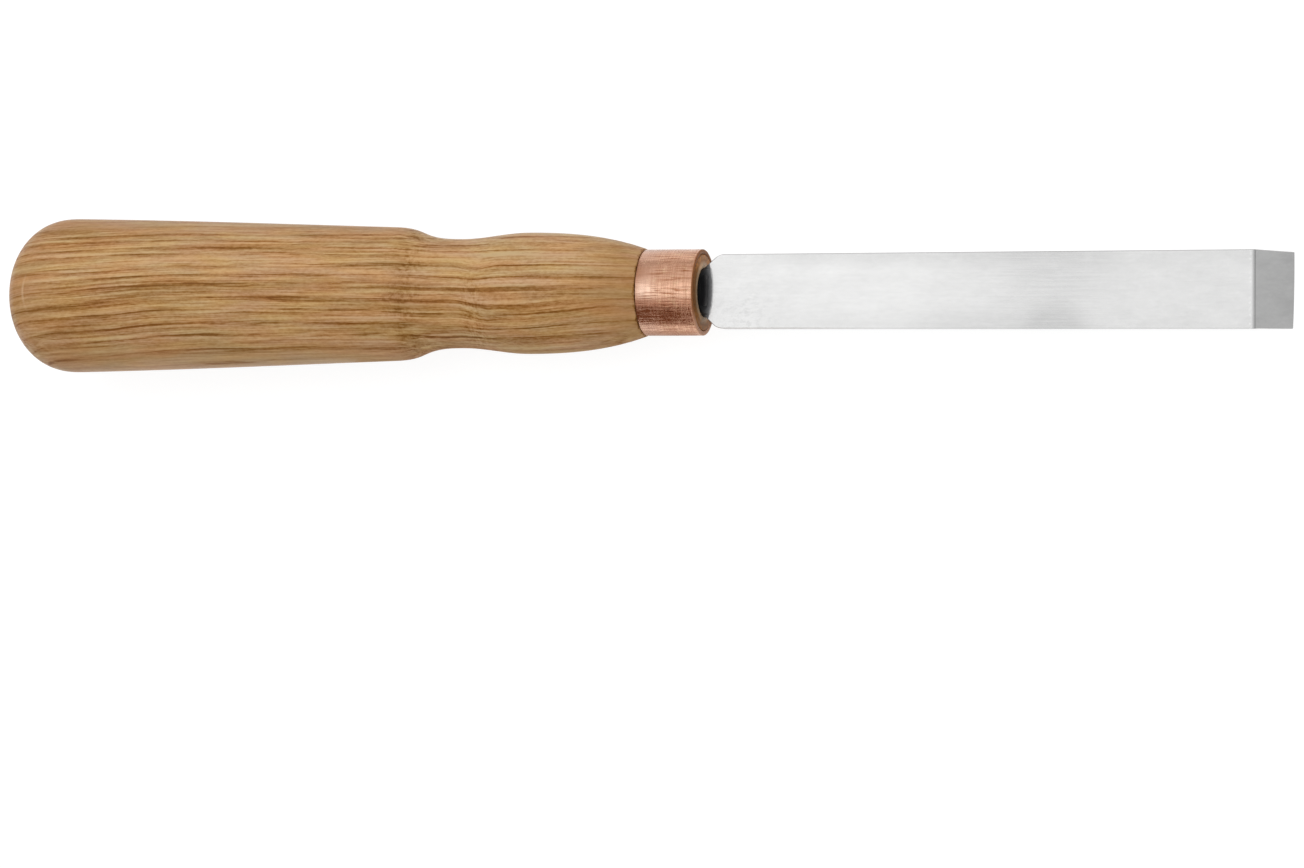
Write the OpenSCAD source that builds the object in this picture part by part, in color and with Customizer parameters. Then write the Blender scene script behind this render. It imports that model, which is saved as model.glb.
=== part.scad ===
// Flat carving chisel: a turned wooden handle, a copper ferrule and a forged steel blade.
// The axis of the tool is X, with the cutting edge at +X and the bevelled face up, towards +Z.
// The origin lies on the axis, in the plane of the ferrule's mouth, where the bolster seats.

/* [Handle] */
// Length of the domed butt
butt_dome_len = 14; // [8:0.1:18]
// Fullness of the dome, from 2 for an ellipse to squarer domes
butt_fullness = 2.2; // [2:0.05:3]
// Diameter where the dome meets the grip, the thickest place
grip_dia = 33; // [29:0.1:38]
// Length of the grip, from the dome to the shoulder
grip_len = 71.9; // [50:0.1:100]
// Diameter at the shoulder
shoulder_dia = 28.35; // [25:0.05:34]
// Length over which the shoulder rounds over and drops
shoulder_len = 6.3; // [4:0.1:10]
// Depth of that drop, measured on the radius
shoulder_drop = 1.15; // [0.5:0.05:2]
// Steepest slope of the shoulder, in degrees from the axis
shoulder_angle = 25.5; // [12:0.5:35]
// Length of the cove, from the foot of the shoulder to the neck
cove_len = 9.6; // [6:0.1:16]
// Diameter of the neck, the thinnest place
neck_dia = 23.0; // [19:0.1:25]
// Length of the rise from the neck to the crest of the front bulge
rise_len = 14; // [9:0.1:24]
// Diameter at the crest of the front bulge
bulge_dia = 25.5; // [22:0.1:30]
// Length of the nose, from the crest to the ferrule
nose_len = 25.8; // [16:0.1:36]
// Slope of the nose where it meets the ferrule, in degrees from the axis
nose_angle = 19.5; // [8:0.5:30]
// How far the wood stands proud of the ferrule, on the radius
nose_step = 0.15; // [0:0.05:0.6]

/* [Ferrule] */
// Outside diameter of the tube
ferrule_dia = 18; // [16:0.1:22]
// Wall of the tube
ferrule_wall = 1; // [0.6:0.1:1.6]
// Length of the tube
ferrule_len = 12.5; // [8:0.1:20]
// Bevel that breaks the outer edges of the tube
ferrule_edge = 0.25; // [0.1:0.05:0.5]
// Gap between the tube and the tenon, on the radius
ferrule_gap = 0.05; // [0.02:0.01:0.2]

/* [Blade] */
// Length of the blade, from the ferrule's mouth to the cutting edge
blade_len = 123.4; // [90:0.1:160]
// Width of the face at the heel of the bevel
heel_width = 16.1; // [14:0.1:17]
// Width of the face at the shoulders
root_width = 15.5; // [13.6:0.05:17]
// Thickness at the shoulders
root_thick = 4.0; // [3:0.1:5]
// Thickness at the heel of the bevel
heel_thick = 3.2; // [2.2:0.1:4.2]
// Height of the flat back below the axis
back_drop = 2.0; // [1.5:0.1:2.5]
// Angle of the bevel
bevel_angle = 23; // [18:0.5:32]
// Draft of the sides, which makes the back narrower than the face, in degrees
side_draft = 4; // [2:0.5:9]
// Width of the shoulders where they leave the bolster
shoulder_root_width = 9.8; // [8:0.1:11]
// Slope of the shoulders, in degrees from the axis
flare_angle = 43; // [30:0.5:60]
// Radius that rounds the shoulders into the sides
flare_round = 3; // [1:0.1:4]

/* [Bolster] */
// Diameter of the bolster
bolster_dia = 10.4; // [9.5:0.1:13]
// Length of its rim, in front of the ferrule's mouth
bolster_rim = 0.5; // [0.3:0.05:1.2]
// Distance from the ferrule's mouth to the start of the ground face
face_start = 2.55; // [2:0.05:4.5]
// Radius of the arc in which the ground face starts
face_start_round = 21; // [14:0.5:40]
// Angle at which the neck runs out into the ground face, in degrees
run_out_angle = 16; // [8:0.5:25]

/* [Tang] */
// Length of the tang inside the handle
tang_len = 62; // [45:0.5:75]
// Width across the flats at the bolster
tang_root = 6.5; // [5:0.1:7]
// Width across the flats at its tip
tang_tip = 3.0; // [2:0.1:4.5]
// Gap between the tang and its hole, on each side
tang_gap = 0.08; // [0.03:0.01:0.2]
// Depth of the hole beyond the tip of the tang
tang_end_gap = 2; // [0.5:0.1:6]

/* [Hidden] */
$fn = 96;

// Cutting planes reach this far past what they cut
past = 1;
// The sides are ground this far into the forged outline
side_skim = 0.05;
// Steps in each stretch of the handle's curve, in the dome and in the rounded shoulders
curve_steps = 8;
dome_steps = 14;
round_steps = 8;

// Places along the axis, from the ferrule's mouth back to the butt
nose_x = -ferrule_len;
bulge_x = nose_x - nose_len;
neck_x = bulge_x - rise_len;
cove_x = neck_x - cove_len;
shoulder_x = cove_x - shoulder_len;
grip_x = shoulder_x - grip_len;

// Radii of the turned and drawn pieces
grip_r = grip_dia / 2;
shoulder_r = shoulder_dia / 2;
ferrule_r = ferrule_dia / 2;
ferrule_bore_r = ferrule_r - ferrule_wall;
tenon_r = ferrule_bore_r - ferrule_gap;
bolster_r = bolster_dia / 2;

// Slopes of the handle's outline at its stations.
// The grip swells like a barrel: it leaves the dome flatter than its mean slope and ends steeper.
barrel_start = 0.6;
barrel_end = 1.1;
grip_slope = (shoulder_r - grip_r) / grip_len;
shoulder_slope = -tan(shoulder_angle);
nose_slope = -tan(nose_angle);

// The turner's stations, each with its place, its radius and its slope
stations = [
    [grip_x, grip_r, grip_slope * barrel_start],
    [shoulder_x, shoulder_r, grip_slope * barrel_end],
    [cove_x, shoulder_r - shoulder_drop, shoulder_slope],
    [neck_x, neck_dia / 2, 0],
    [bulge_x, bulge_dia / 2, 0],
    [nose_x, ferrule_r + nose_step, nose_slope],
];

// Places and heights on the blade
heel_x = blade_len - heel_thick / tan(bevel_angle);
back_z = -back_drop;
root_z = back_z + root_thick;
heel_z = back_z + heel_thick;

// The concave neck passes through the top of the bolster's rim and the start of the ground face
neck_run = face_start - bolster_rim;
neck_fall = bolster_r - root_z;
neck_r = (pow(neck_run, 2) + pow(neck_fall, 2))
    / (2 * (neck_fall * cos(run_out_angle) - neck_run * sin(run_out_angle)));
neck_centre_x = face_start + neck_r * sin(run_out_angle);
neck_centre_z = root_z + neck_r * cos(run_out_angle);

// The outline's rounded shoulders: the arc touches the flare and the side
flare_turn = flare_round * tan(flare_angle / 2);
flare_end_x = bolster_rim + (root_width - shoulder_root_width) / 2 / tan(flare_angle);

// A cubic through two stations, at the share t of the way from a to b
function between(a, b, t) =
    let (run = b[0] - a[0])
    (1 + 2 * t) * pow(1 - t, 2) * a[1]
    + t * pow(1 - t, 2) * run * a[2]
    + pow(t, 2) * (3 - 2 * t) * b[1]
    + pow(t, 2) * (t - 1) * run * b[2];

// Radius and place of a point on the handle's curve
function curve_point(a, b, t) = [between(a, b, t), a[0] + t * (b[0] - a[0])];

// Turns a shape that stands on Z so that it lies along X
module along_x() {
    rotate([0, 90, 0]) children();
}

// Half of the turned outline, as radius and place along the axis, from the butt to the end of the tenon
module handle_outline() {
    dome = [
        for (i = [0 : dome_steps - 1])
            let (a = 90 * i / dome_steps)
            [
                grip_r * pow(sin(a), 2 / butt_fullness),
                grip_x - butt_dome_len * pow(cos(a), 2 / butt_fullness)
            ]
    ];
    curve = [
        for (i = [0 : len(stations) - 2])
            for (k = [0 : curve_steps - 1])
                curve_point(stations[i], stations[i + 1], k / curve_steps)
    ];
    nose = [ferrule_r + nose_step, nose_x];
    tenon = [[tenon_r, nose_x], [tenon_r, 0], [0, 0]];
    polygon(concat(dome, curve, [nose], tenon));
}

// Four-sided taper along -X from the ferrule's mouth, widened on each side by gap
module tang_taper(len, gap, front) {
    taper = (tang_root - tang_tip) / 2 / tang_len;
    front_half = tang_root / 2 + gap + taper * front;
    back_half = tang_root / 2 + gap - taper * len;
    outline = [[-len, -back_half], [front, -front_half], [front, front_half], [-len, back_half]];
    intersection() {
        linear_extrude(height = 2 * tang_root, center = true) polygon(outline);
        rotate([90, 0, 0]) linear_extrude(height = 2 * tang_root, center = true) polygon(outline);
    }
}

// Turned wood: dome, grip, shoulder, cove, bulge, nose and tenon, with the hole for the tang
module handle() {
    color("burlywood") difference() {
        along_x() rotate_extrude() handle_outline();
        tang_taper(tang_len + tang_end_gap, tang_gap, past);
    }
}

// Copper tube with its outer edges broken
module ferrule() {
    profile = [
        [ferrule_bore_r, -ferrule_len],
        [ferrule_r - ferrule_edge, -ferrule_len],
        [ferrule_r, -ferrule_len + ferrule_edge],
        [ferrule_r, -ferrule_edge],
        [ferrule_r - ferrule_edge, 0],
        [ferrule_bore_r, 0],
    ];
    color("darksalmon") along_x() rotate_extrude() polygon(profile);
}

// Half of the forged outline in plan, wider than the ground sides by the skim
module blade_half_plan() {
    root_half = root_width / 2 + side_skim;
    heel_half = heel_width / 2 + side_skim;
    arc_x = flare_end_x + flare_turn;
    arc_y = root_half - flare_round;
    arc = [
        for (i = [0 : round_steps])
            let (a = 90 + flare_angle * (1 - i / round_steps))
            [arc_x + flare_round * cos(a), arc_y + flare_round * sin(a)]
    ];
    root = [[0, 0], [bolster_rim, shoulder_root_width / 2]];
    tip = [[heel_x, heel_half], [blade_len + past, heel_half], [blade_len + past, 0]];
    polygon(concat(root, arc, tip));
}

// The flat of the blade, with its taper in thickness and the bevel, seen from the side
module blade_side() {
    polygon([[0, back_z], [0, root_z], [face_start, root_z], [heel_x, heel_z], [blade_len, back_z]]);
}

// What the grinding takes off one side: a slab that leans over by the draft and follows the taper in width
module side_grinding() {
    side_gain = (heel_width - root_width) / 2 + (root_z - heel_z) * tan(side_draft);
    side_turn = atan(side_gain / (heel_x - flare_end_x));
    translate([flare_end_x, root_width / 2, root_z])
        rotate([0, 0, side_turn])
        rotate([-side_draft, 0, 0])
        translate([-blade_len, 0, -2 * root_thick])
        cube([3 * blade_len, root_width, 4 * root_thick]);
}

// The round bolster, hollowed above and below where the neck runs out into the faces
module bolster() {
    sweep_r = face_start_round + neck_centre_x - face_start;
    difference() {
        along_x() cylinder(r = bolster_r, h = neck_centre_x);
        for (side = [0, 1])
            mirror([0, 0, side])
            translate([face_start - face_start_round, 0, neck_centre_z])
            rotate_extrude() translate([sweep_r, 0]) circle(r = neck_r);
    }
}

// Forged steel: flat blade, shoulders, bolster and tang in one piece
module blade() {
    color("gainsboro") {
        difference() {
            intersection() {
                translate([0, 0, -2 * root_thick]) linear_extrude(height = 4 * root_thick) {
                    blade_half_plan();
                    mirror([0, 1]) blade_half_plan();
                }
                rotate([90, 0, 0])
                    linear_extrude(height = 2 * heel_width, center = true)
                    blade_side();
            }
            side_grinding();
            mirror([0, 1, 0]) side_grinding();
        }
        bolster();
        tang_taper(tang_len, 0, bolster_rim);
    }
}

handle();
ferrule();
blade();
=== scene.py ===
# %% [markdown]
# A flat carving chisel: a turned oak handle, a copper ferrule and a steel blade, lying on white.
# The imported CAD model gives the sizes, and this lesson gives the looks.
# Each piece is modelled again with Blender's own tools, finer than the CAD solid and in the same place,
# because the light shows small things that a construction drawing leaves out: broken edges, grain and scale.

import math

import bmesh
import bpy
from mathutils import Matrix, Vector


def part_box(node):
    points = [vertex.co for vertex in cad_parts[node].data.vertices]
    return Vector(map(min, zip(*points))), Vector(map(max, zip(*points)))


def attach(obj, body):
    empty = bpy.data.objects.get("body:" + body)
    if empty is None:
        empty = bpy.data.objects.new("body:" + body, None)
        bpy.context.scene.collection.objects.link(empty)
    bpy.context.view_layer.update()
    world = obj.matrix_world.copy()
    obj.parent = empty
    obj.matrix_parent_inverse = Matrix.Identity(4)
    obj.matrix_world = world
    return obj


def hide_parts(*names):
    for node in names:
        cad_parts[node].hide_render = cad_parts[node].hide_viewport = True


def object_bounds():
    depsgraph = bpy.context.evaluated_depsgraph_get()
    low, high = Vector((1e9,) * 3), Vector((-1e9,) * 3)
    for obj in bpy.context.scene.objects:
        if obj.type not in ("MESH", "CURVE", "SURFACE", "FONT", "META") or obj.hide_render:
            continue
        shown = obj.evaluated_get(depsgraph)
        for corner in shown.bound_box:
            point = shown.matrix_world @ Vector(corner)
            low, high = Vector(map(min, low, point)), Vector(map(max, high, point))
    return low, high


MM = 0.001


def in_mm(lengths):
    """Lengths in metres as rounded millimetres, for what the cells print."""
    return [round(length / MM, 2) for length in lengths]


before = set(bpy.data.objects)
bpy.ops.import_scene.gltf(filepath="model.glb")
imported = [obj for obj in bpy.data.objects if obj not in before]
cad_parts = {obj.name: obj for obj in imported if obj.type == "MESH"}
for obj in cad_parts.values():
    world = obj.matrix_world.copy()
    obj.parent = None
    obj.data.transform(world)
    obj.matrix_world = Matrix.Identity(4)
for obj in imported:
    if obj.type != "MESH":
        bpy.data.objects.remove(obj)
cad_low, cad_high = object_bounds()
print("CAD box in mm:", in_mm(cad_low), in_mm(cad_high))

# %% [markdown]
# The handle was turned on a lathe, so every cut across it is a circle.
# A spin of a drawn outline would make it, but the outline is already in the frame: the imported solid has
# a ring of vertices wherever the turner's curve has a point. Reading those rings keeps this handle in step
# with the CAD. The rings of the tenon and of the hole for the tang are left out, as no part of the curve.

# %% Read the turner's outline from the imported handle
FERRULE_LOW, FERRULE_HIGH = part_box("ferrule")
FERRULE_R = FERRULE_HIGH.z
FERRULE_WALL = 1.0 * MM
FERRULE_GAP = 0.05 * MM
MOUTH_X = FERRULE_HIGH.x
NOSE_X = FERRULE_LOW.x
TENON_R = FERRULE_R - FERRULE_WALL - FERRULE_GAP
BUTT_LEN = 12 * MM
MICRON = 0.001 * MM
MICRON_PLACES = 6


def outline_of(node, x_end):
    """Place and radius of each ring of a turned solid up to x_end, from the butt forwards."""
    rings = {}
    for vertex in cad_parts[node].data.vertices:
        place = round(vertex.co.x, MICRON_PLACES)
        reach = math.hypot(vertex.co.y, vertex.co.z)
        rings[place] = max(reach, rings.get(place, 0.0))
    return [(x, r) for x, r in sorted(rings.items()) if x <= x_end + MICRON]


handle_outline = [
    (x, r) for x, r in outline_of("handle", NOSE_X)
    if r > TENON_R or x < cad_low.x + BUTT_LEN
]
print("rings read:", len(handle_outline), "widest radius in mm", in_mm([max(r for x, r in handle_outline)]))

# %% [markdown]
# Every operator works on what is selected, and loading the frame leaves its nodes selected.
# These helpers clear that selection, open a new primitive for editing, pick parts of its mesh by their place
# and extrude them along the tool, as one would by hand in edit mode.

# %% Helpers for edit mode


def deselect_all():
    """Clears the selection, before a primitive is added."""
    bpy.ops.object.select_all(action="DESELECT")


def start_piece(name):
    """Names the primitive that was just added and opens it for editing, with its place in its mesh."""
    piece = bpy.context.object
    piece.name = name
    piece.data.name = name
    bpy.ops.object.transform_apply(location=True, rotation=True, scale=True)
    bpy.ops.object.mode_set(mode="EDIT")
    return piece


def pick(piece, kind, test):
    """In edit mode, selects the vertices, edges or faces that pass the test, and says how many."""
    bpy.ops.mesh.select_mode(type=kind)
    bpy.ops.mesh.select_all(action="DESELECT")
    mesh = bmesh.from_edit_mesh(piece.data)
    parts = {"VERT": mesh.verts, "EDGE": mesh.edges, "FACE": mesh.faces}[kind]
    chosen = [part for part in parts if test(part)]
    for part in chosen:
        part.select_set(True)
    bmesh.update_edit_mesh(piece.data)
    return len(chosen)


def extrude_to(x_from, x_to, spread, centre_z=0.0):
    """Extrudes the selection along the tool and scales the new ring by spread, in Y and in Z."""
    bpy.ops.mesh.extrude_region_move(TRANSFORM_OT_translate={"value": (x_to - x_from, 0, 0)})
    bpy.ops.transform.resize(value=(1, spread[0], spread[1]), center_override=(x_to, 0, centre_z))


def merge_and_face_out():
    """Merges doubled vertices and turns every face outwards. It works in edit mode, on the whole mesh."""
    bpy.ops.mesh.select_all(action="SELECT")
    bpy.ops.mesh.remove_doubles(threshold=MICRON)
    bpy.ops.mesh.normals_make_consistent(inside=False)


# %% [markdown]
# The turning itself: a small disc at the butt, extruded from ring to ring and scaled to each radius.
# It is the lathe's work done in steps, and it leaves clean rows of quads that a subdivision rounds further.
# The nose ends in a step down to the tenon, which fills the ferrule and shows end grain round the bolster.

# %% Turn the handle
AROUND = 72
TIP_RING = 1.2 * MM
CLOSE = 0.1 * MM
ALONG_TOOL = (0, math.pi / 2, 0)

tip_x = handle_outline[0][0]
body_rings = [(x, r) for x, r in handle_outline if r > TIP_RING]
first_x, first_r = body_rings[0]
deselect_all()
bpy.ops.mesh.primitive_circle_add(
    vertices=AROUND, radius=first_r, fill_type="TRIFAN", location=(first_x, 0, 0), rotation=ALONG_TOOL)
handle = start_piece("turned_handle")
pick(handle, "VERT", lambda v: v.co.yz.length < CLOSE)
bpy.ops.transform.translate(value=(tip_x - first_x, 0, 0))
pick(handle, "EDGE", lambda e: all(v.co.yz.length > CLOSE for v in e.verts))
for (x_from, r_from), (x_to, r_to) in zip(body_rings, body_rings[1:]):
    extrude_to(x_from, x_to, (r_to / r_from, r_to / r_from))
step_down = TENON_R / body_rings[-1][1]
extrude_to(NOSE_X, NOSE_X, (step_down, step_down))
extrude_to(NOSE_X, MOUTH_X, (1, 1))
bpy.ops.mesh.edge_face_add()
merge_and_face_out()
print("the handle has", len(bmesh.from_edit_mesh(handle.data).verts), "vertices before rounding")

# %% [markdown]
# Every piece is finished in the same way: modifiers are applied, solids are joined or cut out of each other,
# and the result is shaded and hung on the frame in place of its CAD solid.
# Counting the edges that don't have two faces shows at once whether a shell is closed.

# %% Helpers for finishing a piece


def only(piece):
    """Makes the piece the one selected and active object."""
    deselect_all()
    piece.select_set(True)
    bpy.context.view_layer.objects.active = piece


def apply_modifier(piece, kind, **settings):
    """Adds a modifier, sets it and applies it at once."""
    only(piece)
    modifier = piece.modifiers.new(kind.lower(), kind)
    for name, value in settings.items():
        setattr(modifier, name, value)
    bpy.ops.object.modifier_apply(modifier=modifier.name)


def combine(piece, other, operation):
    """Joins the other solid to the piece, or cuts it out, and removes the other one."""
    apply_modifier(piece, "BOOLEAN", operation=operation, solver="EXACT", object=other)
    bpy.data.objects.remove(other, do_unlink=True)


def open_edges(piece):
    """Counts the edges that don't have exactly two faces. A closed shell has none."""
    mesh = bmesh.new()
    mesh.from_mesh(piece.data)
    count = sum(1 for edge in mesh.edges if len(edge.link_faces) != 2)
    mesh.free()
    return count


def finish_piece(piece, node, sharp_angle):
    """Shades the piece smooth up to the sharp angle, hangs it on the frame and prints its size."""
    only(piece)
    bpy.ops.object.shade_smooth_by_angle(angle=sharp_angle)
    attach(piece, "root")
    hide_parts(node)
    print(piece.name, len(piece.data.polygons), "faces,", open_edges(piece), "open edges,",
          "size in mm", in_mm(piece.dimensions))


# %% [markdown]
# A turner takes the sharp edges off with sandpaper, here those of the nose and of the tenon.
# A bevel does that, and one subdivision then rounds the whole turning.
# The hole for the tang comes after both, so its corners stay sharp: a tapered bar, cut out of the handle.

# %% Round the handle's edges and bore it for the tang
SHARP = math.radians(40)
NOSE_EDGE = 0.25 * MM
TANG_LEN = 62 * MM
TANG_ROOT = 6.5 * MM
TANG_TIP = 3.0 * MM
TANG_GAP = 0.08 * MM
TANG_END_GAP = 2 * MM
OVERRUN = 1 * MM


def tapered_bar(name, x_back, x_front, wide_back, wide_front):
    """A four-sided bar along the tool, thinner at its back end."""
    middle = (x_back + x_front) / 2
    deselect_all()
    bpy.ops.mesh.primitive_cube_add(size=1, location=(middle, 0, 0))
    bpy.context.object.scale = (x_front - x_back, wide_front, wide_front)
    bar = start_piece(name)
    pick(bar, "VERT", lambda v: v.co.x < middle)
    share = wide_back / wide_front
    bpy.ops.transform.resize(value=(1, share, share), center_override=(x_back, 0, 0))
    bpy.ops.object.mode_set(mode="OBJECT")
    return bar


pick(handle, "EDGE", lambda e: e.calc_face_angle(0) > SHARP)
bpy.ops.mesh.bevel(offset=NOSE_EDGE, segments=3, affect="EDGES")
bpy.ops.object.mode_set(mode="OBJECT")
apply_modifier(handle, "SUBSURF", levels=1, render_levels=1)
bore = tapered_bar(
    "bore", -(TANG_LEN + TANG_END_GAP), OVERRUN, TANG_TIP + 2 * TANG_GAP, TANG_ROOT + 2 * TANG_GAP)
combine(handle, bore, "DIFFERENCE")
finish_piece(handle, "handle", SHARP)

# %% [markdown]
# The ferrule is a short cut of copper tube, pressed on to the tenon so that the tang can't split the wood.
# An open cylinder gets its wall from Solidify, which keeps the outside where the CAD has it.
# A tube cutter and a file leave no sharp edge, so a bevel rounds all four rims, and the bright line
# along the mouth in the photograph comes from that rounding.

# %% Cut the ferrule
ROUND_SIDES = 128
RIM_ROUND = 0.32 * MM
RIM_ANGLE = math.radians(60)

deselect_all()
bpy.ops.mesh.primitive_cylinder_add(
    vertices=ROUND_SIDES, radius=FERRULE_R, depth=MOUTH_X - NOSE_X, end_fill_type="NOTHING",
    location=((MOUTH_X + NOSE_X) / 2, 0, 0), rotation=ALONG_TOOL)
ferrule = start_piece("copper_ferrule")
merge_and_face_out()
bpy.ops.object.mode_set(mode="OBJECT")
apply_modifier(ferrule, "SOLIDIFY", thickness=FERRULE_WALL, offset=-1.0)
apply_modifier(ferrule, "BEVEL", width=RIM_ROUND, segments=4, limit_method="ANGLE", angle_limit=RIM_ANGLE)
finish_piece(ferrule, "ferrule", SHARP)

# %% [markdown]
# The blade is one forging. Its flat part grows along the tool: first the shoulders, which flare out at about
# 45 degrees and round into the sides, then the long taper to the heel of the bevel.
# A smith's drawing would give the same few sizes, and the arc of each shoulder is worked out from them.

# %% Lay out the flat of the blade
BLADE_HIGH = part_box("blade")[1]
EDGE_X = BLADE_HIGH.x
BACK_Z = -2.0 * MM
ROOT_THICK = 4.0 * MM
HEEL_THICK = 3.2 * MM
BEVEL_ANGLE = math.radians(23)
HEEL_X = EDGE_X - HEEL_THICK / math.tan(BEVEL_ANGLE)
HEEL_HALF = BLADE_HIGH.y
ROOT_HALF = 7.75 * MM
SHOULDER_HALF = 4.9 * MM
SHOULDER_X = 0.5 * MM
FLARE = math.radians(43)
FLARE_ROUND = 3.0 * MM
FLARE_STEPS = 8


def shoulder_sections():
    """Place and half width along the shoulder: straight flare first, then the arc into the side."""
    turn = FLARE_ROUND * math.tan(FLARE / 2)
    flare_end = SHOULDER_X + (ROOT_HALF - SHOULDER_HALF) / math.tan(FLARE)
    centre_x = flare_end + turn
    centre_y = ROOT_HALF - FLARE_ROUND
    arc = []
    for step in range(FLARE_STEPS + 1):
        angle = math.pi / 2 + FLARE * (1 - step / FLARE_STEPS)
        arc.append((centre_x + FLARE_ROUND * math.cos(angle), centre_y + FLARE_ROUND * math.sin(angle)))
    return [(SHOULDER_X, SHOULDER_HALF)] + arc


def thickness_at(x):
    """Thickness of the flat, which thins evenly from the shoulders to the heel."""
    share = max(0.0, x - SHOULDER_X) / (HEEL_X - SHOULDER_X)
    return ROOT_THICK + (HEEL_THICK - ROOT_THICK) * share


sections = shoulder_sections() + [(HEEL_X, HEEL_HALF)]
print("the flat has", len(sections), "sections between the places in mm", in_mm([SHOULDER_X, HEEL_X]))

# %% [markdown]
# The flat is drawn out of one four-sided face, as a smith draws a bar out under the hammer.
# Each extrusion takes it to the next section, a little wider and a little thinner.
# The face starts narrower at the back, so the sides lean in, as on chisels that must reach into corners.

# %% Draw out the flat of the blade
SIDE_DRAFT = math.radians(4)

back_share = 1 - HEEL_THICK * math.tan(SIDE_DRAFT) / HEEL_HALF
deselect_all()
bpy.ops.mesh.primitive_plane_add(size=1, rotation=ALONG_TOOL)
bpy.context.object.location = (SHOULDER_X, 0, BACK_Z + ROOT_THICK / 2)
bpy.context.object.scale = (ROOT_THICK, 2 * SHOULDER_HALF, 1)
blade = start_piece("ground_blade")
pick(blade, "VERT", lambda v: v.co.z < 0)
bpy.ops.transform.resize(value=(1, back_share, 1), center_override=(0, 0, 0))
pick(blade, "FACE", lambda f: True)
for (x_from, half_from), (x_to, half_to) in zip(sections, sections[1:]):
    extrude_to(x_from, x_to, (half_to / half_from, thickness_at(x_to) / thickness_at(x_from)), BACK_Z)
print("the flat has", len(bmesh.from_edit_mesh(blade.data).faces), "faces")

# %% [markdown]
# The bevel is a wedge: one more extrusion, whose upper corners drop to the back and merge with those below.
# It was ground by hand, so its edge and its heel aren't ruled lines, and a single face couldn't show that.
# Cutting the wedge into strips across the blade gives each of them a row of points.

# %% Grind the bevel
STRIPS = 8

extrude_to(HEEL_X, EDGE_X, (1, 1), BACK_Z)
pick(blade, "VERT", lambda v: v.co.x > EDGE_X - CLOSE and v.co.z > BACK_Z + CLOSE)
bpy.ops.transform.resize(value=(1, back_share, 0), center_override=(EDGE_X, 0, BACK_Z))
merge_and_face_out()


def runs_across(edge):
    """True for an edge that crosses the blade at the heel or beyond."""
    a, b = edge.verts
    return min(a.co.x, b.co.x) > HEEL_X - CLOSE and abs(a.co.y - b.co.y) > HEEL_HALF


print("edges cut into strips:", pick(blade, "EDGE", runs_across))
bpy.ops.mesh.subdivide(number_cuts=STRIPS - 1)

# %% [markdown]
# The middle of the cutting edge stands a little proud of its corners, and the heel lies a little askew.
# Each point of a row is moved along the tool by its own small amount, so both lines follow a formula.
# A bevel modifier then breaks the sharp edges, as a stone does.

# %% Crown the edge and break the corners
CROWN = 0.10 * MM
HEEL_SKEW = 0.13 * MM
ARRIS = 0.11 * MM
ARRIS_ANGLE = math.radians(20)
ROW_CLOSE = 0.05 * MM
POINT_CLOSE = 0.01 * MM
POINT_PLACES = 7


def shift_row(x, above, shift):
    """Moves each vertex of a row across the blade by its own small amount along the tool."""
    def in_row(vertex):
        return abs(vertex.co.x - x) < ROW_CLOSE and vertex.co.z > above

    vertices = bmesh.from_edit_mesh(blade.data).verts
    across = sorted({round(v.co.y, POINT_PLACES) for v in vertices if in_row(v)})
    for y in across:
        pick(blade, "VERT", lambda v: in_row(v) and abs(v.co.y - y) < POINT_CLOSE)
        bpy.ops.transform.translate(value=(shift(y), 0, 0))
    return len(across)


edge_half = HEEL_HALF * back_share
edge_points = shift_row(EDGE_X, BACK_Z - CLOSE, lambda y: -CROWN * (y / edge_half) ** 2)
heel_points = shift_row(HEEL_X, 0, lambda y: -HEEL_SKEW * y / HEEL_HALF)
merge_and_face_out()
bpy.ops.object.mode_set(mode="OBJECT")
apply_modifier(blade, "BEVEL", width=ARRIS, segments=2, limit_method="ANGLE", angle_limit=ARRIS_ANGLE)
print("points along the edge and the heel:", edge_points, heel_points, "open edges:", open_edges(blade))

# %% [markdown]
# Behind the shoulders sits the round bolster, which takes the push against the wood.
# The smith's fuller left a hollow neck above and below it, and the ground face runs out into that hollow
# in a shallow arc. A turned disc gives the bolster, and two large rings, cut out of it, give the hollows.
# A Boolean is the honest tool here, because the real neck is also what one round form left in another.

# %% Turn the bolster and hollow its neck
BOLSTER_R = 5.2 * MM
BOLSTER_RIM = 0.5 * MM
BOLSTER_ROUND = 0.18 * MM
FACE_START = 2.55 * MM
FACE_ARC = 21 * MM
RUN_OUT = math.radians(16)
RING_AROUND = 288
RING_SECTION = 72

face_z = BACK_Z + ROOT_THICK
neck_run = FACE_START - BOLSTER_RIM
neck_fall = BOLSTER_R - face_z
neck_sink = neck_fall * math.cos(RUN_OUT) - neck_run * math.sin(RUN_OUT)
neck_r = (neck_run ** 2 + neck_fall ** 2) / (2 * neck_sink)
neck_x = FACE_START + neck_r * math.sin(RUN_OUT)
neck_z = face_z + neck_r * math.cos(RUN_OUT)

deselect_all()
bpy.ops.mesh.primitive_cylinder_add(
    vertices=ROUND_SIDES, radius=BOLSTER_R, depth=neck_x, location=(neck_x / 2, 0, 0), rotation=ALONG_TOOL)
bolster = start_piece("bolster")
pick(bolster, "EDGE", lambda e: all(v.co.x < CLOSE for v in e.verts))
bpy.ops.mesh.bevel(offset=BOLSTER_ROUND, segments=3, affect="EDGES")
merge_and_face_out()
bpy.ops.object.mode_set(mode="OBJECT")
for side in (1, -1):
    deselect_all()
    bpy.ops.mesh.primitive_torus_add(
        major_radius=FACE_ARC + neck_x - FACE_START, minor_radius=neck_r,
        major_segments=RING_AROUND, minor_segments=RING_SECTION,
        location=(FACE_START - FACE_ARC, 0, side * neck_z))
    combine(bolster, bpy.context.object, "DIFFERENCE")
print("neck radius in mm", in_mm([neck_r]), "bolster faces", len(bolster.data.polygons))

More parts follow.
